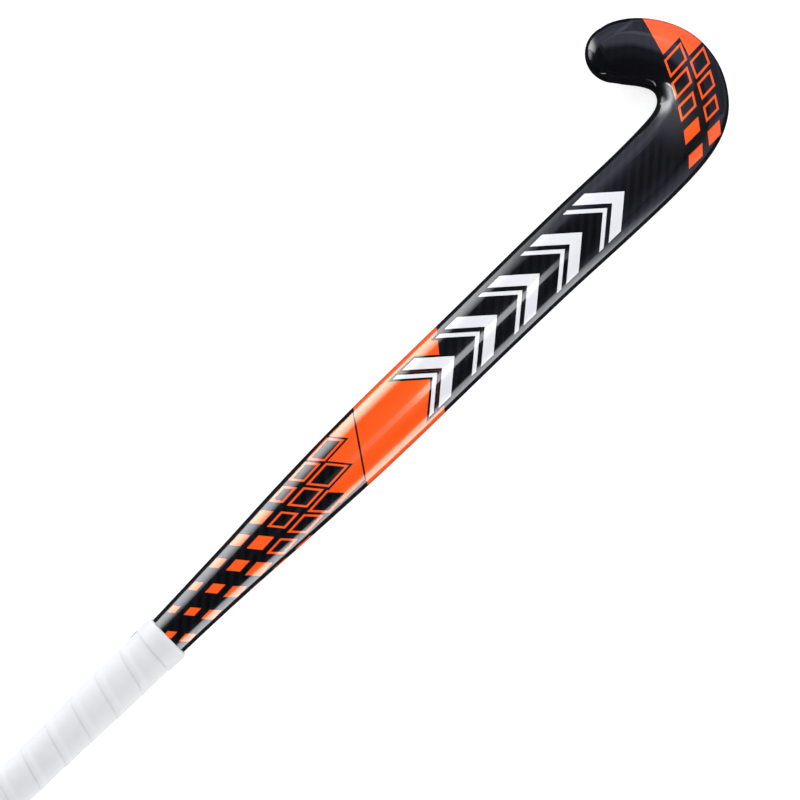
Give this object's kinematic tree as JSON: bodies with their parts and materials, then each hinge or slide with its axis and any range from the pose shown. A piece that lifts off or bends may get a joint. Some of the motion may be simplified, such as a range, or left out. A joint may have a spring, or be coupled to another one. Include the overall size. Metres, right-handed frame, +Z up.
{
  "type": "field hockey stick",
  "caption": "Moulded composite field hockey stick with a hooked head, flat playing face, rounded back, bowed shaft and spirally wound grip.",
  "frame": {"origin": "middle of the base of the bounding box, on the floor that the stick lies on with its playing face down", "axes": "+Y along the shaft from the head to the butt, +X towards the toe of the hook, +Z up through the playing face to the rounded back"},
  "size_m": [0.1268, 0.927, 0.0449],
  "materials": {
    "lacquered_carbon": "carbon twill under clear gloss lacquer, with printed orange and white shapes",
    "core_foam": "closed-cell foam, matt",
    "tube_laminate": "bare cured laminate, satin",
    "handle_foam": "poured foam, matt",
    "plug_plastic": "moulded hard plastic, satin",
    "adhesive_tape": "double-sided cloth tape",
    "grip_cushion": "soft white polyurethane with a fine embossing, matt",
    "band_tape": "white stretch tape, satin",
    "cap_rubber": "moulded rubber, matt"
  },
  "bodies": {
    "root": {"outer_laminate": "lacquered_carbon", "head_foam_core": "core_foam", "inner_tube_toe_side": "tube_laminate", "inner_tube_heel_side": "tube_laminate", "handle_foam_plug": "handle_foam", "butt_plug": "plug_plastic", "base_tape": "adhesive_tape", "grip_tape": "grip_cushion", "finishing_tape": "band_tape", "end_cap": "cap_rubber"}
  },
  "joints": []
}
